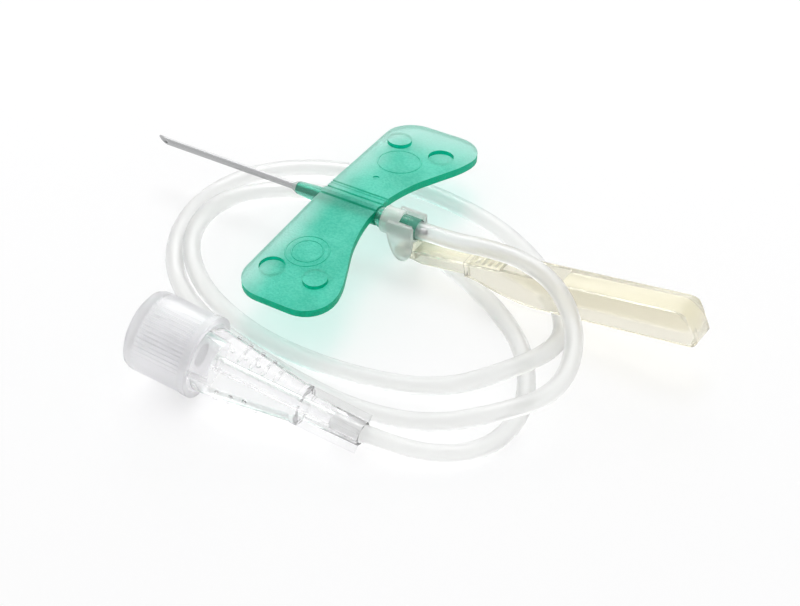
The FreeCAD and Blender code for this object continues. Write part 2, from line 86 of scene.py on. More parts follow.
camera_data = bpy.data.cameras.new("camera")
camera_data.lens = 137.05
camera_data.sensor_width = 36.0
camera_data.clip_start = 0.01
camera = bpy.data.objects.new("camera", camera_data)
scene.collection.objects.link(camera)
back = Vector((
    math.sin(AZIMUTH) * math.cos(ELEVATION),
    -math.cos(AZIMUTH) * math.cos(ELEVATION),
    math.sin(ELEVATION),
))
camera.location = LOOK_AT + back * DISTANCE
camera.rotation_mode = "QUATERNION"
camera.rotation_quaternion = (-back).to_track_quat("-Z", "Y")
scene.camera = camera
scene.view_settings.view_transform = "Standard"
print("camera at", [round(c, 4) for c in camera.location])

# %% [markdown]
# ## Shader maths as Python
# A procedural finish is a small sum: some noise, stretched and scaled, nudges a colour or a
# roughness. Wiring that by hand is long to read. This class wraps a shader socket, so that
# `0.3 + 0.2 * noise` adds the Math nodes itself. The Finish class makes a material, adds any other
# node from its type, settings and inputs, and sets the sockets of its Principled shader.

# %% Wrap sockets and materials
class Value:
    """A shader socket that takes part in Python sums."""

    def __init__(self, finish, socket):
        self.finish = finish
        self.socket = socket

    def maths(self, operation, left, right):
        return self.finish.node("ShaderNodeMath", {"operation": operation}, {0: left, 1: right})

    def __add__(self, other):
        return self.maths("ADD", self, other)

    def __mul__(self, other):
        return self.maths("MULTIPLY", self, other)

    __radd__ = __add__
    __rmul__ = __mul__

    def clamped(self):
        return self.finish.node("ShaderNodeClamp", {}, {0: self})


class Finish:
    """A material with a Principled shader, and short ways to add nodes to it."""

    def __init__(self, name):
        self.material = bpy.data.materials.new(name)
        self.material.use_nodes = True
        self.tree = self.material.node_tree
        self.shader = self.tree.nodes["Principled BSDF"]
        self.output = self.tree.nodes["Material Output"]

    def fill(self, socket, value):
        if isinstance(value, Value):
            self.tree.links.new(value.socket, socket)
        elif isinstance(value, bpy.types.NodeSocket):
            self.tree.links.new(value, socket)
        else:
            socket.default_value = value

    def node(self, kind, settings, inputs, output=0):
        made = self.tree.nodes.new(kind)
        for name, value in settings.items():
            setattr(made, name, value)
        for name, value in inputs.items():
            self.fill(made.inputs[name], value)
        return Value(self, made.outputs[output])

    def place(self, stretch=(1, 1, 1)):
        """Object coordinates, stretched along each axis."""
        spot = self.node("ShaderNodeTexCoord", {}, {}, "Object")
        return self.node("ShaderNodeMapping", {}, {"Vector": spot, "Scale": stretch})

    def noise(self, size, detail=3.0, stretch=(1, 1, 1)):
        """Noise from 0 to 1 whose blotches are about size metres across."""
        return self.node("ShaderNodeTexNoise", {}, {
            "Vector": self.place(stretch), "Scale": 1 / size, "Detail": detail})

    def contrast(self, value, low, high):
        """Stretch a value so that low becomes 0 and high becomes 1, with soft ends."""
        return self.node("ShaderNodeMapRange", {"interpolation_type": "SMOOTHSTEP"}, {
            "Value": value, "From Min": low, "From Max": high})

    def mix_colour(self, share, first, second):
        return self.node("ShaderNodeMix", {"data_type": "RGBA"}, {0: share, 6: first, 7: second}, 2)

    def bump(self, height, distance, strength=1.0):
        return self.node("ShaderNodeBump", {}, {
            "Height": height, "Distance": distance, "Strength": strength})

    def principled(self, **sockets):
        for name, value in sockets.items():
            self.fill(self.shader.inputs[name.replace("_", " ")], value)

    def edgewise(self, low, high):
        """0 on faces that look up or down, 1 on upright faces such as a sheet's cut edge."""
        skin = self.node("ShaderNodeTexCoord", {}, {}, "Normal")
        upward = self.node("ShaderNodeSeparateXYZ", {}, {0: skin}, "Z")
        flatness = self.node("ShaderNodeMath", {"operation": "ABSOLUTE"}, {0: upward})
        return self.node("ShaderNodeMapRange", {"interpolation_type": "SMOOTHSTEP"}, {
            "Value": flatness, "From Min": high, "From Max": low})

    def light_gets_through(self, share, colour):
        """Lets a share of the light pass straight on, tinted, where it would make a shadow."""
        rays = self.node("ShaderNodeLightPath", {}, {}, "Is Shadow Ray")
        clear = self.node("ShaderNodeBsdfTransparent", {}, {"Color": colour})
        mixed = self.node("ShaderNodeMixShader", {}, {
            0: rays * share, 1: self.shader.outputs[0], 2: clear})
        self.fill(self.output.inputs["Surface"], mixed)


def colour(red, green, blue):
    """A colour written as on a screen, 0 to 255, turned to the linear values of light."""
    def linear(level):
        level = level / 255
        return level / 12.92 if level <= 0.04045 else ((level + 0.055) / 1.055) ** 2.4
    return (linear(red), linear(green), linear(blue), 1.0)


print("sRGB 128 is", round(colour(128, 128, 128)[0], 3), "in linear light")

# %% [markdown]
# ## Floor and light
# The set was photographed on a white sweep: the floor is paper white, and shadows are faint and
# soft. Raising the lamps until the floor clips would bleach the pale plastics. The floor's own
# shader adds some white only for what the eye sees, directly, in a reflection or through clear
# plastic, so the object's shadow stays on it and the lamps stay at a plain level.

# %% Set the floor, the world and the lamps
FLOOR_Z = -5.8 * MM
FLOOR_HALF = 6.0
GLOW_SHARE = 0.45
GLOW = 1.06
WORLD_SEEN = 0.90
WORLD_LIGHT = 0.61
LAMPS_AIM_AT = (0.015, -0.008, 0)

floor_finish = Finish("white_sweep")
floor_finish.principled(Base_Color=(0.96, 0.96, 0.965, 1), Roughness=0.6)
floor_finish.fill(floor_finish.shader.inputs["Specular IOR Level"], 0.1)
rays = {
    name: floor_finish.node("ShaderNodeLightPath", {}, {}, name)
    for name in ("Is Camera Ray", "Is Glossy Ray", "Is Transmission Ray")
}
seen = (rays["Is Camera Ray"] + rays["Is Glossy Ray"] + rays["Is Transmission Ray"]).clamped()
glow = floor_finish.node("ShaderNodeEmission", {}, {"Color": (1, 1, 1, 1), "Strength": GLOW})
floor_finish.fill(floor_finish.output.inputs["Surface"], floor_finish.node(
    "ShaderNodeMixShader", {}, {0: seen * GLOW_SHARE, 1: floor_finish.shader.outputs[0], 2: glow}))

floor_mesh = bpy.data.meshes.new("floor")
floor_bm = bmesh.new()
bmesh.ops.create_grid(floor_bm, x_segments=1, y_segments=1, size=FLOOR_HALF)
bmesh.ops.translate(floor_bm, verts=floor_bm.verts, vec=(0, 0, FLOOR_Z))
floor_bm.to_mesh(floor_mesh)
floor_bm.free()
floor_mesh.materials.append(floor_finish.material)
floor = bpy.data.objects.new("floor", floor_mesh)
scene.collection.objects.link(floor)
floor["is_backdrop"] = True

world = bpy.data.worlds.new("studio")
world.use_nodes = True
tree = world.node_tree
light_path = tree.nodes.new("ShaderNodeLightPath")
strength = tree.nodes.new("ShaderNodeMapRange")
strength.inputs["To Min"].default_value = WORLD_SEEN
strength.inputs["To Max"].default_value = WORLD_LIGHT
tree.links.new(light_path.outputs["Is Diffuse Ray"], strength.inputs["Value"])
tree.links.new(strength.outputs["Result"], tree.nodes["Background"].inputs["Strength"])
tree.nodes["Background"].inputs["Color"].default_value = (1, 1, 1, 1)
scene.world = world


def softbox(name, place, size, power):
    """A square area lamp that shines at the middle of the object."""
    light = bpy.data.lights.new(name, "AREA")
    light.size = size
    light.energy = power
    lamp = bpy.data.objects.new(name, light)
    lamp.location = place
    aim = Vector(LAMPS_AIM_AT) - Vector(place)
    lamp.rotation_mode = "QUATERNION"
    lamp.rotation_quaternion = aim.to_track_quat("-Z", "Y")
    scene.collection.objects.link(lamp)
    return lamp


softbox("softbox_above", (-0.10, 0.22, 0.50), 0.26, 1.0)
softbox("softbox_front", (0.35, -0.35, 0.40), 0.30, 0.28)
softbox("softbox_back", (-0.30, 0.55, 0.26), 0.40, 0.7)
print("floor at", round(FLOOR_Z / MM, 2), "mm")

# %% [markdown]
# ## Helpers for the shapes
# Every shape below is written in millimetres and starts as one of three things: an outline that is
# given a thickness, a profile that is spun round an axis, or a rod between two points. Soft edges
# come from a Bevel modifier that is applied at once. Holes and joined shapes come from exact
# booleans between simple closed shapes, which keeps each piece one watertight skin.

# %% Outline, profile and rod
def prism(outline, along, low, high, rounding=()):
    """A flat outline of two coordinates each, thick from low to high along one axis.

    rounding gives each corner its radius, or 0.
    """
    bm = bmesh.new()
    spot = {
        "x": lambda a, b: (low, a, b),
        "y": lambda a, b: (a, low, b),
        "z": lambda a, b: (a, b, low),
    }[along]
    step = {"x": (high - low, 0, 0), "y": (0, high - low, 0), "z": (0, 0, high - low)}[along]
    corners = [bm.verts.new(spot(a, b)) for a, b in outline]
    bm.faces.new(corners)
    for corner, radius in zip(corners, rounding):
        if radius:
            bmesh.ops.bevel(bm, geom=[corner], offset=radius, segments=8, profile=0.5,
                            affect="VERTICES", material=-1)
    raised = bmesh.ops.extrude_face_region(bm, geom=bm.faces[:])
    moved = [part for part in raised["geom"] if isinstance(part, bmesh.types.BMVert)]
    bmesh.ops.translate(bm, verts=moved, vec=step)
    bmesh.ops.recalc_face_normals(bm, faces=bm.faces)
    return bm


def lathe(profile, steps=96):
    """A profile of (x, radius) points spun about X. A closed profile ends where it began."""
    bm = bmesh.new()
    closed = profile[0] == profile[-1]
    points = [bm.verts.new((x, 0, r)) for x, r in (profile[:-1] if closed else profile)]
    pairs = list(zip(points, points[1:])) + ([(points[-1], points[0])] if closed else [])
    edges = [bm.edges.new(pair) for pair in pairs]
    bmesh.ops.spin(bm, geom=points + edges, cent=(0, 0, 0), axis=(1, 0, 0), dvec=(0, 0, 0),
                   angle=2 * math.pi, steps=steps, use_merge=True)
    bmesh.ops.remove_doubles(bm, verts=bm.verts, dist=1e-4)
    bmesh.ops.recalc_face_normals(bm, faces=bm.faces)
    return bm


def rod(radius, start, end, steps=48, end_radius=None):
    """A closed rod or cone between two points."""
    start = Vector(start)
    end = Vector(end)
    turn = (end - start).to_track_quat("Z", "Y").to_matrix().to_4x4()
    bm = bmesh.new()
    bmesh.ops.create_cone(
        bm, cap_ends=True, segments=steps, radius1=radius,
        radius2=radius if end_radius is None else end_radius, depth=(end - start).length,
        matrix=Matrix.Translation((start + end) / 2) @ turn)
    return bm


def solid(name, bm):
    """Put a shape in the scene, in metres."""
    bmesh.ops.scale(bm, vec=(MM, MM, MM), verts=bm.verts)
    mesh = bpy.data.meshes.new(name)
    bm.to_mesh(mesh)
    bm.free()
    made = bpy.data.objects.new(name, mesh)
    scene.collection.objects.link(made)
    return made


def apply_modifiers(piece):
    """Turn a piece's modifiers into its mesh."""
    evaluated = piece.evaluated_get(bpy.context.evaluated_depsgraph_get())
    mesh = bpy.data.meshes.new_from_object(evaluated)
    before = piece.data
    piece.modifiers.clear()
    piece.data = mesh
    bpy.data.meshes.remove(before)


def carve(piece, tools, operation="DIFFERENCE"):
    """Cut shapes from a piece, or join them to it with UNION."""
    helpers = []
    for bm in tools:
        helper = solid("tool", bm)
        helpers.append(helper)
        modifier = piece.modifiers.new("carve", "BOOLEAN")
        modifier.operation = operation
        modifier.solver = "EXACT"
        modifier.object = helper
    apply_modifiers(piece)
    for helper in helpers:
        bpy.data.objects.remove(helper)


def soften(piece, width, segments=2, angle=35):
    """Round the edges of a piece that are sharper than an angle. width is in millimetres."""
    modifier = piece.modifiers.new("soft_edges", "BEVEL")
    modifier.width = width * MM
    modifier.segments = segments
    modifier.limit_method = "ANGLE"
    modifier.angle_limit = math.radians(angle)
    modifier.harden_normals = False
    apply_modifiers(piece)


def show(piece, body, finish, stands_for, smooth_angle=40):
    """Give a finished shape its material and its body, and hide the CAD nodes that it stands for.

    A piece that bends between two bodies has None here.
    """
    mesh = piece.data
    mesh.materials.clear()
    mesh.materials.append(finish.material)
    mesh.shade_smooth()
    mesh.set_sharp_from_angle(angle=math.radians(smooth_angle))
    if body:
        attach(piece, body)
    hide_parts(*stands_for)
    size = [round(side / MM, 1) for side in piece.dimensions]
    print(piece.name, "is", size, "mm, with", len(mesh.polygons), "faces")
    return piece


print("shape helpers ready")

# %% [markdown]
# ## Finish: clear soft tube
# The tube is soft clear plastic, faintly milky. Real refraction gives its bright middle and grey
# rims on a white ground. Most light passes, so its shadow is pale.

# %% Make the tube's finish
tube_finish = Finish("soft_clear_plastic")
tube_finish.principled(
    Base_Color=(0.965, 0.968, 0.962, 1), Roughness=0.34, IOR=1.26, Transmission_Weight=0.86,
    Normal=tube_finish.bump(tube_finish.noise(0.0006, 2.0), 0.00002, 0.3))
tube_finish.light_gets_through(0.92, (0.99, 0.99, 0.99, 1))
print("finish:", tube_finish.material.name)

# %% [markdown]
# ## The tube
# About 30 cm of tube leaves the hub, rests on the shield, and lies in two loose turns on the floor
# before it enters the connector. Its route is a smooth curve: a NURBS spline with listed
# control points. The spline's order has to be set after its points are in. A ring between two
# circles is then pushed along that line, so the tube has a real wall and a real channel.

# %% Lay the route
ROUTE = [
    (12.35, 0.0, 0.0), (19.6, 0.0, 0.0), (24.6, -0.1, 1.0), (30.0, -0.9, 1.7),
    (35.4, -3.3, 1.4), (39.8, -8.0, -0.3), (41.0, -14.0, -2.4), (37.4, -20.1, -2.4),
    (30.7, -23.9, -4.2), (22.8, -24.9, -4.8), (14.7, -24.0, -4.8), (6.6, -22.2, -4.8),
    (-1.2, -19.5, -4.8), (-8.1, -13.9, -4.8), (-11.9, -5.4, -4.8), (-10.9, 3.6, -4.8),
    (-5.0, 9.8, -4.8), (3.7, 12.4, -4.8), (12.9, 12.3, -4.8), (21.6, 10.1, -4.8),
    (29.4, 5.2, -4.8), (34.9, -1.4, -4.8), (37.0, -8.0, -2.6), (34.6, -13.5, -2.5),
    (29.0, -17.7, -4.5), (21.4, -19.9, -4.8), (13.4, -20.5, -4.8), (5.5, -19.4, -4.8),
    (-2.7, -15.9, -4.6), (-8.6, -9.8, -4.0), (-9.7, -1.8, -4.0), (-5.0, 4.7, -4.8),
    (2.8, 6.8, -4.8), (12.1, 4.4, -4.8), (21.7, 0.4, -4.8), (29.8, -4.2, -4.8),
    (35.0, -9.7, -4.8), (38.4, -17.4, -4.8), (37.3, -24.7, -4.8), (30.50, -28.91, -4.23),
    (22.66, -29.03, -3.22),
]
TUBE_R = 1.0
LUMEN_R = 0.62

curve = bpy.data.curves.new("tube_route", "CURVE")
curve.dimensions = "3D"
curve.resolution_u = 7
spline = curve.splines.new("NURBS")
spline.points.add(len(ROUTE) - 1)
for point, place in zip(spline.points, ROUTE):
    point.co = (*(Vector(place) * MM), 1)
spline.order_u = 3
spline.use_endpoint_u = True
route_object = bpy.data.objects.new("tube_route", curve)
line_mesh = bpy.data.meshes.new_from_object(route_object)
path = [vertex.co.copy() for vertex in line_mesh.vertices]
bpy.data.objects.remove(route_object)
bpy.data.meshes.remove(line_mesh)
tube_length = sum((b - a).length for a, b in zip(path, path[1:]))
print("the route is", round(tube_length / MM, 1), "mm long, in", len(path), "points")


# %% Push a ring along it
def tube_along(points, outer, inner, sides=32):
    """A hollow tube along points: a ring of faces, extruded from each point to the next."""
    bm = bmesh.new()
    direction = (points[1] - points[0]).normalized()
    turn = direction.to_track_quat("Z", "Y")
    rings = [
        bmesh.ops.create_circle(bm, segments=sides, radius=radius)["verts"]
        for radius in (outer, inner)
    ]
    edges = {edge for ring in rings for vertex in ring for edge in vertex.link_edges}
    bmesh.ops.bridge_loops(bm, edges=list(edges))
    bmesh.ops.transform(
        bm, matrix=Matrix.Translation(points[0]) @ turn.to_matrix().to_4x4(), verts=bm.verts)
    front = bm.faces[:]
    for number in range(1, len(points)):
        here = points[number]
        after = points[min(number + 1, len(points) - 1)]
        ahead = (after - points[number - 1]).normalized()
        swing = direction.rotation_difference(ahead).to_matrix().to_4x4()
        made = bmesh.ops.extrude_face_region(bm, geom=front)["geom"]
        if number > 1:
            bmesh.ops.delete(bm, geom=front, context="FACES_ONLY")
        ring = [part for part in made if isinstance(part, bmesh.types.BMVert)]
        front = [part for part in made if isinstance(part, bmesh.types.BMFace)]
        bmesh.ops.transform(
            bm, verts=ring,
            matrix=Matrix.Translation(here) @ swing @ Matrix.Translation(-points[number - 1]))
        direction = ahead
    bmesh.ops.recalc_face_normals(bm, faces=bm.faces)
    return bm


tube_bm = tube_along([point / MM for point in path], TUBE_R, LUMEN_R)
tube = show(solid("infusion_tube", tube_bm), "set", tube_finish, ["tube"])

# %% [markdown]
# ## Finish: soft green plastic
# The wings are soft PVC, dyed teal and a little see-through: pale where light comes up through the
# flat sheet. A rough, partly transmitting shader gives that, and two fine noises give the slightly
# frosted, speckled skin of a moulded soft part. Upright faces, the cut edges and the sides of the
# discs, are painted a deeper green: painted shade for the light's longer way through the dye and
# for the shade on the discs' rims. The sheet is also painted paler at the far wing's end and along
# both front edges: a painted sheen of the light from behind. One more mask follows its place along
# X and Y for that.

# %% Make the green finish
def painted_sheen(finish):
    """Painted sheen: how much paler the sheet is painted, most at the far wing's end and along both
    front edges.
    """
    spot = finish.node("ShaderNodeTexCoord", {}, {}, "Object")
    parts = {axis: finish.node("ShaderNodeSeparateXYZ", {}, {0: spot}, axis) for axis in "XY"}
    waver = 0.003 * finish.noise(0.005, 2.0)
    outward = finish.contrast(parts["Y"] + waver, 0.012, 0.020)
    forward = finish.contrast(parts["X"] + waver, 0.0085, 0.0040)
    return (outward + 0.9 * forward).clamped()


green_finish = Finish("soft_green_plastic")
cloud = green_finish.contrast(green_finish.noise(0.0045, 3.0), 0.38, 0.62)
grain = green_finish.noise(0.00022, 2.0)
speck = green_finish.contrast(green_finish.noise(0.0003, 1.0), 0.35, 0.65)
flat_green = green_finish.mix_colour(
    0.55 * cloud + 0.45 * speck, colour(108, 228, 206), colour(66, 204, 178))
# Painted sheen: the green is painted paler towards the far wing's end and the front edges.
flat_green = green_finish.mix_colour(
    painted_sheen(green_finish) * 0.9, flat_green, colour(206, 240, 233))
green_finish.principled(
    # Painted shade: upright faces, the cut edges and the discs' sides, are painted a deeper green.
    Base_Color=green_finish.mix_colour(
        green_finish.edgewise(0.25, 0.8), flat_green, colour(0, 176, 136)),
    Roughness=0.32 + 0.20 * grain, IOR=1.30, Transmission_Weight=0.55,
    Normal=green_finish.bump(grain, 0.00007, 1.0))
green_finish.fill(green_finish.shader.inputs["Specular IOR Level"], 0.3)
green_finish.light_gets_through(0.80, (0.42, 1.0, 0.93, 1))
print("finish:", green_finish.material.name)

# %% [markdown]
# ## The wings and their sleeve
# The wings are one soft sheet that also wraps the hub, so they are made as two halves that meet
# over the hub's axis. A half starts as the sheet's section, with the bulge round the hub, the bore
# and the fine creases drawn in it. It is drawn out along the hub, and the paddle's outline is then
# cut from it, with each corner rounded by a vertex bevel of its own. Near the paddle's end is one
# raised disc and one recess: the discs of one wing press into the recesses of the other when both
# are folded up. The far half has a small dimple too, which the mould leaves.
#
# Beyond its fold line the sheet droops. The mesh is cut across there a few times, so that it can
# bend smoothly for the droop.

# %% Draw half of the sheet
SHEET_X = (3.3, 10.5)
SHEET_Z = (0.05, 0.95)
HUB_R = 0.92
BORE_R = HUB_R + 0.01
BULGE_R = 1.14
CREASE_HALF = 0.16
SAMPLE = 0.04
PAST_AXIS = 0.48
HALVED_AT = 0.01
FOLD = Vector((0, 1.9, 0.55))
BEND = (1.4, 2.4)
BEND_CUTS = 8
DROOP = math.radians(5.4)
FLAT_CUTS_Y = [4, 6, 8, 10, 12, 14, 16]
FLAT_CUTS_X = [4.5, 6, 7.5, 9, 10.3, 12, 13.3]
WING_OUTLINE = [
    (SHEET_X[0], -0.4), (SHEET_X[0], 1.96), (2.61, 18.25), (14.35, 18.55), (14.0, 13.3),
    (10.62, 5.1), (SHEET_X[1], 1.96), (SHEET_X[1], -0.4),
]
WING_ROUNDING = (0, 1.0, 3.5, 3.9, 1.6, 3.0, 0, 0)
FRONT_SPOT = (5.2, 13.5)
REAR_SPOT = (10.7, 13.45)
DISC_R = 1.40
DISC_TOP = 1.42
RECESS_R = 1.46
RECESS_FLOOR = 0.45
MARK_CENTRE = (7.4, 9.75)
MARK_LINE_R = 0.10
DIMPLE = (7.0, 5.3)
DIMPLE_R = 0.36
DIMPLE_FLOOR = 0.82


def round_line(radius, centre):
    """A fine raised line in a circle: a small circle spun about an upright axis."""
    bm = bmesh.new()
    made = bmesh.ops.create_circle(
        bm, segments=10, radius=MARK_LINE_R,
        matrix=Matrix.Translation((radius, 0, 0)) @ Matrix.Rotation(math.pi / 2, 4, "X"))
    edges = list({edge for vertex in made["verts"] for edge in vertex.link_edges})
    bmesh.ops.spin(bm, geom=made["verts"] + edges, cent=(0, 0, 0), axis=(0, 0, 1), dvec=(0, 0, 0),
                   angle=2 * math.pi, steps=72, use_merge=True)
    bmesh.ops.translate(bm, verts=bm.verts, vec=(centre[0], centre[1], SHEET_Z[1] - 0.017))
    bmesh.ops.recalc_face_normals(bm, faces=bm.faces)
    return bm


def section(creases):
    """The sheet's section across the hub, as (y, z). creases lists (y, depth) of grooves on top."""
    def top(y):
        height = max(SHEET_Z[1], math.sqrt(BULGE_R ** 2 - min(abs(y), BULGE_R) ** 2))
        for middle, depth in creases:
            away = min(abs(y - middle) / CREASE_HALF, 1)
            height -= depth * (0.5 + 0.5 * math.cos(math.pi * away))
        return height

    def arc(radius, start, end, steps):
        turns = [start + (end - start) * number / steps for number in range(steps + 1)]
        return [(radius * math.sin(turn), radius * math.cos(turn)) for turn in turns]

    under = math.acos(SHEET_Z[0] / BULGE_R)
    past_bulge = math.asin(PAST_AXIS / BULGE_R)
    past_bore = math.asin(PAST_AXIS / BORE_R)
    return (
        [(SAMPLE * number, top(SAMPLE * number)) for number in range(-12, 61)]
        + [(20, SHEET_Z[1]), (20, SHEET_Z[0])]
        + arc(BULGE_R, under, math.pi + past_bulge, 20)
        + arc(BORE_R, math.pi + past_bore, -past_bore, 40))


def cut_across(bm, place, direction, **options):
    """Cut a mesh along a plane. place is in millimetres."""
    return bmesh.ops.bisect_plane(
        bm, geom=bm.verts[:] + bm.edges[:] + bm.faces[:], dist=1e-8,
        plane_co=Vector(place) * MM, plane_no=direction, **options)


def bend(piece):
    """Halve the sheet over the hub, cut it across its fold and let it droop beyond.

    Wider cuts keep the rest flat.
    """
    bm = bmesh.new()
    bm.from_mesh(piece.data)
    bmesh.ops.remove_doubles(bm, verts=bm.verts, dist=2e-6)
    halved = cut_across(bm, (0, HALVED_AT, 0), (0, 1, 0), clear_inner=True)
    rim = [part for part in halved["geom_cut"] if isinstance(part, bmesh.types.BMEdge)]
    bmesh.ops.holes_fill(bm, edges=rim)
    bmesh.ops.recalc_face_normals(bm, faces=bm.faces)
    step = (BEND[1] - BEND[0]) / BEND_CUTS
    for y in [BEND[0] + step * number for number in range(BEND_CUTS + 1)] + FLAT_CUTS_Y:
        cut_across(bm, (0, y, 0), (0, 1, 0))
    for x in FLAT_CUTS_X:
        cut_across(bm, (x, 0, 0), (1, 0, 0))
    bmesh.ops.remove_doubles(bm, verts=bm.verts, dist=2e-6)
    for vertex in bm.verts:
        share = (vertex.co.y / MM - BEND[0]) / (BEND[1] - BEND[0])
        share = min(max(share, 0), 1)
        turn = Matrix.Rotation(-DROOP * share * share * (3 - 2 * share), 3, "X")
        vertex.co = FOLD * MM + turn @ (vertex.co - FOLD * MM)
    bm.to_mesh(piece.data)
    bm.free()


def half_sheet(name, raised_at, recess_at, mark_radii, creases, side):
    """Half of the sheet. side is 1 for the far half and -1 for the near one, its mirror image."""
    piece = solid(name, prism(section(creases), "x", 0, 20))
    carve(piece, [prism(WING_OUTLINE, "z", -3, 3, WING_ROUNDING)], "INTERSECT")
    soften(piece, 0.13, 3, 50)
    carve(piece, [rod(RECESS_R, (*recess_at, RECESS_FLOOR), (*recess_at, 2.0), 64)])
    if side > 0:
        carve(piece, [rod(DIMPLE_R, (*DIMPLE, DIMPLE_FLOOR), (*DIMPLE, 2.0), 32)])
    carve(piece, [rod(DISC_R, (*raised_at, 0.5), (*raised_at, DISC_TOP), 64)], "UNION")
    soften(piece, 0.05, 2, 50)
    for radius in mark_radii:
        carve(piece, [round_line(radius, MARK_CENTRE)], "UNION")
    bend(piece)
    if side < 0:
        piece.data.transform(Matrix.Scale(-1, 4, (0, 1, 0)))
        piece.data.flip_normals()
    return piece


# %% Make both halves
far_half = half_sheet("wing_far_soft", FRONT_SPOT, REAR_SPOT, [2.45],
                      [(2.02, 0.24), (1.58, 0.12), (0.90, 0.22)], 1)
near_half = half_sheet("wing_near_soft", REAR_SPOT, FRONT_SPOT, [2.45, 1.75], [(0.52, 0.20)], -1)
for half, body, side in ((far_half, "far", 1), (near_half, "near", -1)):
    show(half, None, green_finish, ["wing_" + body, "wing_sleeve"])
    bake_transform(half)

# %% [markdown]
# ## Hub, bead and needle
# The hub is a hard clear green tube round the needle, with a drop of glue where the needle enters
# it. The needle is a steel tube, ground slantwise at the tip. Both are spun from profiles.

# %% Make their finishes
steel_finish = Finish("needle_steel")
draw_marks = steel_finish.noise(0.00008, 2.0, stretch=(0.02, 1, 1))
steel_finish.principled(
    Base_Color=(0.45, 0.455, 0.46, 1), Metallic=1.0, Roughness=0.16 + 0.14 * draw_marks,
    Normal=steel_finish.bump(draw_marks, 0.000004, 0.6))

hub_finish = Finish("clear_green_plastic")
hub_finish.principled(
    Base_Color=hub_finish.mix_colour(
        hub_finish.noise(0.003), colour(112, 204, 180), colour(132, 214, 194)),
    Roughness=0.16, IOR=1.38, Transmission_Weight=0.82)
hub_finish.light_gets_through(0.8, (0.7, 0.96, 0.90, 1))

bead_finish = Finish("glue")
bead_finish.principled(
    Base_Color=(0.86, 0.93, 0.91, 1), Roughness=0.06, IOR=1.45, Transmission_Weight=0.7,
    Normal=bead_finish.bump(bead_finish.noise(0.0006), 0.00004, 0.5))
for finish in (steel_finish, hub_finish, bead_finish):
    print("finish:", finish.material.name)

# %% Make the needle
NEEDLE_R = 0.40
NEEDLE = (-19.0, 16.7)
BEVEL = 1.9
needle_profile = [
    (NEEDLE[0], 0.26), (NEEDLE[0], NEEDLE_R), (NEEDLE[1], NEEDLE_R), (NEEDLE[1], 0.26),
    (NEEDLE[0], 0.26),
]
needle = solid("needle_steel_tube", lathe(needle_profile, 64))
slope = 2 * NEEDLE_R / BEVEL
cut = prism([
    (NEEDLE[0] - 1, NEEDLE_R + slope), (NEEDLE[0] + BEVEL + 1, -NEEDLE_R - slope),
    (NEEDLE[0] - 1, -NEEDLE_R - slope)], "z", -1, 1)
carve(needle, [cut])
show(needle, "set", steel_finish, ["needle"])

# %% Make the hub and the bead
hub = solid("hub_green_tube", lathe([
    (0.0, 0.41), (0.0, 0.62), (0.06, 0.70), (0.16, 0.74), (2.4, HUB_R), (10.55, HUB_R),
    (10.65, 0.96), (10.85, 1.16), (11.0, 1.22), (15.65, 1.22), (15.75, 1.14), (15.75, 1.01),
    (12.35, 1.01), (12.35, 0.41), (0.0, 0.41)]))
show(hub, "set", hub_finish, ["hub"])
bead = solid("glue_bead", lathe([
    (0.02, 0.41), (0.02, 0.66), (-0.08, 0.65), (-0.22, 0.60), (-0.38, 0.52), (-0.52, 0.45),
    (-0.60, 0.41), (0.02, 0.41)], 64))
show(bead, "set", bead_finish, ["bead"], 60)

# %% [markdown]
# ## Finish: milky and clear plastics
# The collar and the cap are milky: light enters and scatters. The connector is clear, with bright
# rims. The shield is clear with a touch of yellow, stronger where the light passes a long way
# through it, along the edges.

# %% Make the clear finishes
milky_finish = Finish("milky_plastic")
milky_finish.principled(
    Base_Color=milky_finish.mix_colour(
        milky_finish.noise(0.002), colour(249, 253, 249), colour(252, 254, 252)),
    Roughness=0.30 + 0.1 * milky_finish.noise(0.0004), IOR=1.28, Transmission_Weight=0.72)
milky_finish.light_gets_through(0.85, (0.97, 0.985, 0.975, 1))

yellow_finish = Finish("clear_yellow_plastic")
yellow_finish.principled(
    Base_Color=yellow_finish.mix_colour(
        yellow_finish.edgewise(0.3, 0.9), colour(250, 247, 229), colour(251, 248, 236)),
    Roughness=0.21 + 0.06 * yellow_finish.noise(0.0015), IOR=1.34, Transmission_Weight=0.82)
yellow_finish.light_gets_through(0.85, (0.985, 0.97, 0.91, 1))

clear_finish = Finish("clear_plastic")
clear_finish.principled(
    Base_Color=clear_finish.mix_colour(
        clear_finish.noise(0.004), colour(252, 252, 253), colour(254, 254, 254)),
    Roughness=0.12 + 0.05 * clear_finish.noise(0.001), IOR=1.32, Transmission_Weight=0.93)
clear_finish.light_gets_through(0.93, (0.99, 0.985, 0.99, 1))

cap_finish = Finish("milky_cap_plastic")
cap_finish.principled(
    Base_Color=cap_finish.mix_colour(
        cap_finish.noise(0.003), colour(251, 251, 252), colour(253, 253, 254)),
    Roughness=0.36 + 0.1 * cap_finish.noise(0.0005), IOR=1.26, Transmission_Weight=0.82)
cap_finish.light_gets_through(0.95, (0.98, 0.975, 0.98, 1))
for finish in (milky_finish, yellow_finish, clear_finish, cap_finish):
    print("finish:", finish.material.name)

# %% [markdown]
# ## The collar
# A milky clip grips the hub's rear: closed in front, and open above behind, where the hub shows
# between two thin ears. The shield's pins turn in the ears. Each ear is an outline with rounded
# corners.

# %% Make the collar
HINGE = (14.2, -2.6)
PIN_END = 1.55
COLLAR_X = (11.5, 15.5)
COLLAR_R = 1.54
COLLAR_BORE_R = 1.23
MOUTH_OUTLINE = [(13.7, 0), (17, 0), (17, 3), (13.7, 3)]
MOUTH_HALF = 1.1
SOCKET_R = 0.33
EAR_Y = (1.30, 1.75)
EAR_OUTLINE = [
    (12.5, 1.05), (15.75, 1.05), (15.75, -1.6), (15.35, -3.2), (14.6, -3.66), (13.7, -3.56),
    (12.9, -2.1), (12.5, 0.0),
]
EAR_ROUNDING = (0.2, 0.2, 1.0, 0.5, 0.4, 0.7, 0.9, 0.8)

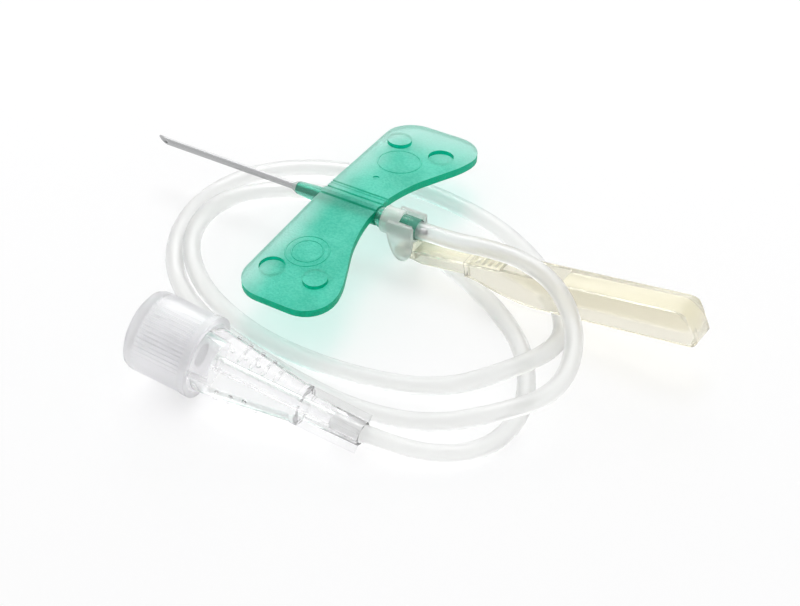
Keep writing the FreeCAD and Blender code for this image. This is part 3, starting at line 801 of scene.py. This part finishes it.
collar = solid("collar_milky", rod(COLLAR_R, (COLLAR_X[0], 0, 0), (COLLAR_X[1], 0, 0), 64))
for low, high in (EAR_Y, (-EAR_Y[1], -EAR_Y[0])):
    carve(collar, [prism(EAR_OUTLINE, "y", low, high, EAR_ROUNDING)], "UNION")
carve(collar, [
    rod(COLLAR_BORE_R, (9, 0, 0), (20, 0, 0), 64),
    prism(MOUTH_OUTLINE, "y", -MOUTH_HALF, MOUTH_HALF),
])
carve(collar, [
    rod(SOCKET_R, (HINGE[0], side * (EAR_Y[0] - 0.2), HINGE[1]),
        (HINGE[0], side * (PIN_END + 0.05), HINGE[1]), 32)
    for side in (-1, 1)])
soften(collar, 0.08)
show(collar, "set", milky_finish, ["collar"])

# %% [markdown]
# ## The shield
# The shield is a deep channel, open below and closed at its nose, on a narrow arm. It turns about
# the collar's ears until the needle lies inside it. It is drawn along its own length, cut out with
# closed tools, softened, and then tilted to its place at the hinge.

# %% Make the shield
TILT = math.radians(8)
BOX_HALF = 1.70
BOX_INNER = 1.28
BOX_TOP = 0.58
BOX_END = 36.3
CHANNEL_TOP = 0.13
NOSE_V = -2.4
LEAN = 0.235
BOX_OUTLINE = [
    (8.2, BOX_TOP), (BOX_END - 0.7, BOX_TOP), (BOX_END + 0.3, -3.70), (15.8, -3.38),
    (12.2, -2.50), (9.2, -1.25), (8.2, -1.2),
]
BOX_ROUNDING = (0, 1.5, 1.35, 1.6, 1.6, 0.8, 0)
CHANNEL_OUTLINE = [
    (8.65, -6), (8.65, CHANNEL_TOP), (33.95, CHANNEL_TOP), (35.46, -1.37), (35.7, NOSE_V),
    (35.37, -3.7), (35.37, -6),
]
WINDOW_OUTLINE = [(12.6, -1), (12.6, 2), (20.6, 2), (20.0, 0.05), (20.0, -1)]
ARM_HALF = 1.25
ARM_INNER = 0.95
ARM_OUTLINE = [(0, 0.35), (8.4, 0.35), (8.4, -1.2), (2.5, -1.2), (1.5, -0.9), (0, -0.6)]
ARM_CHANNEL_TOP = -0.15
HEEL_R = 0.75
PIN_R = 0.30
GRIPS = 5
GRIP_START = 8.6
GRIP_PITCH = 0.8


def nose_cutter(side):
    """Cuts one upright corner of the nose slantwise. It leans back as the nose does."""
    bm = prism([
        (BOX_END - 0.8, side * (BOX_HALF + 0.3)), (BOX_END + 0.3, side * (BOX_HALF - 0.8)),
        (BOX_END + 2, side * (BOX_HALF - 0.8)), (BOX_END + 2, side * (BOX_HALF + 0.3))], "z", -5, 3)
    for vertex in bm.verts:
        vertex.co.x -= LEAN * (vertex.co.z - NOSE_V)
    return bm


def arm_channel(start, end=9.0):
    """Opens the arm from below between two places along the shield."""
    return prism([(start, -6), (start, ARM_CHANNEL_TOP), (end, ARM_CHANNEL_TOP), (end, -6)],
                 "y", -ARM_INNER, ARM_INNER)


def grip(start):
    """One low step for the finger, with a sloping top."""
    return prism([(start, 0.4), (start + 0.42, 0.4), (start + 0.42, BOX_TOP), (start + 0.3, 0.86),
                  (start, BOX_TOP)], "y", -ARM_HALF, ARM_HALF)


shield = solid("shield_clear", prism(BOX_OUTLINE, "y", -BOX_HALF, BOX_HALF, BOX_ROUNDING))
for side in (-1, 1):
    carve(shield, [nose_cutter(side)])
carve(shield, [prism(CHANNEL_OUTLINE, "y", -BOX_INNER, BOX_INNER)])
carve(shield, [prism(WINDOW_OUTLINE, "y", -BOX_INNER, BOX_INNER)])
carve(shield, [arm_channel(7.2)])
carve(shield, [prism(ARM_OUTLINE, "y", -ARM_HALF, ARM_HALF)], "UNION")
carve(shield, [arm_channel(1.5)])
for radius, half, steps in ((HEEL_R, ARM_HALF, 48), (PIN_R, PIN_END - 0.02, 32)):
    carve(shield, [rod(radius, (0, -half, 0), (0, half, 0), steps)], "UNION")
carve(shield, [grip(GRIP_START + GRIP_PITCH * number) for number in range(GRIPS)], "UNION")
soften(shield, 0.12)
shield.data.transform(
    Matrix.Translation(Vector((HINGE[0], 0, HINGE[1])) * MM) @ Matrix.Rotation(-TILT, 4, "Y"))
show(shield, "guard", yellow_finish, ["shield"])

# %% [markdown]
# ## Connector and cap
# The luer connector is a long cone of clear plastic with grip dots, a step, and a tail with four
# ribs that holds the tube. A milky cap with fine ribs closes its wide end. Both are spun along X
# and then laid along their own line on the floor.

# %% Make the connector
LUER_START = Vector((-0.74, -29.40, -0.21))
LUER_LINE = Vector((0.9917, 0.0156, -0.1276)).normalized()
FLARE_S = 8.8
STEP_S = 19.5
TAIL_S = 27.1
TAIL_RIBS = 4
TAIL_RIB_TURN = 45
DOT_ROWS = 8
DOT_TURN = 10
DOT_MIDDLE = 12.9
DOT_PITCH = 1.55
lay_down = (Matrix.Translation(LUER_START * MM)
            @ LUER_LINE.to_track_quat("X", "Z").to_matrix().to_4x4())


def grip_r(s):
    """Radius of the connector's cone, s millimetres from the cap's closed end."""
    return 3.6 - 1.45 * (s - FLARE_S) / (STEP_S - FLARE_S)


def turned(bm, degrees):
    """A shape turned about the X axis."""
    turn = Matrix.Rotation(math.radians(degrees), 3, "X")
    bmesh.ops.rotate(bm, verts=bm.verts, matrix=turn)
    return bm


step_r = grip_r(STEP_S)
connector = solid("luer_connector", lathe([
    (1.6, 2.15), (1.6, 2.65), (1.7, 2.75), (7.0, 2.75), (7.5, 2.85), (8.1, 3.45), (8.3, 3.58),
    (FLARE_S, 3.6), (STEP_S - 0.1, step_r), (STEP_S, step_r + 0.1), (STEP_S + 0.5, step_r + 0.1),
    (STEP_S + 0.6, step_r), (STEP_S + 0.6, 1.45), (TAIL_S - 0.1, 1.33), (TAIL_S, 1.26),
    (TAIL_S, 1.01), (TAIL_S - 3.5, 1.01), (TAIL_S - 3.5, 0.6), (9.6, 0.6), (9.6, 1.91),
    (1.6, 2.15)]))
rib_outline = [(STEP_S + 0.3, 1.15), (STEP_S + 0.3, 2.25), (TAIL_S, 2.18), (TAIL_S, 1.1)]
carve(connector, [
    turned(prism(rib_outline, "y", -0.25, 0.25), 360 * number / TAIL_RIBS + TAIL_RIB_TURN)
    for number in range(TAIL_RIBS)], "UNION")
dots = []
for row in range(DOT_ROWS):
    count = 3 + row % 2
    for place in range(count):
        s = DOT_MIDDLE + DOT_PITCH * (place - (count - 1) / 2)
        dot = rod(0.30, (s, 0, grip_r(s) - 0.3), (s, 0, grip_r(s) + 0.2), 16, 0.22)
        dots.append(turned(dot, 360 * row / DOT_ROWS + DOT_TURN))
carve(connector, dots, "UNION")
connector.data.transform(lay_down)
show(connector, "set", clear_finish, ["connector"])

# %% Make the cap
CAP_R = 4.50
RIBS = 56
RIB_DEPTH = 0.22
RIBBED = (1.6, 7.1)
cap_bm = lathe([
    (0.35, 0.0), (0.35, 2.55), (0.05, 2.85), (0.0, 3.2), (0.05, 3.75), (0.3, 4.2), (0.8, 4.44),
    (1.2, CAP_R), (1.5, CAP_R), (1.7, CAP_R - 0.01), (7.0, CAP_R - 0.01), (7.25, CAP_R + 0.1),
    (8.0, CAP_R + 0.1), (8.0, 3.9), (1.3, 3.9), (1.3, 2.10), (7.2, 1.93), (7.2, 0.0)], 4 * RIBS)
for vertex in cap_bm.verts:
    radius = math.hypot(vertex.co.y, vertex.co.z)
    if RIBBED[0] < vertex.co.x < RIBBED[1] and radius > CAP_R - 0.3:
        turn = math.atan2(vertex.co.z, vertex.co.y) * RIBS
        deeper = 1 - RIB_DEPTH * (0.5 - 0.5 * math.cos(turn)) / CAP_R
        vertex.co.y *= deeper
        vertex.co.z *= deeper
cap = solid("screw_cap", cap_bm)
cap.data.transform(lay_down)
show(cap, "closure", cap_finish, ["cap"])

# %% [markdown]
# The last lines compare the finished pieces with the CAD model's box.

# %% Compare the two boxes
made_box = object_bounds()
for name, box in (("CAD", cad_box), ("scene", made_box)):
    print(name, [[round(side / MM, 2) for side in corner] for corner in box])
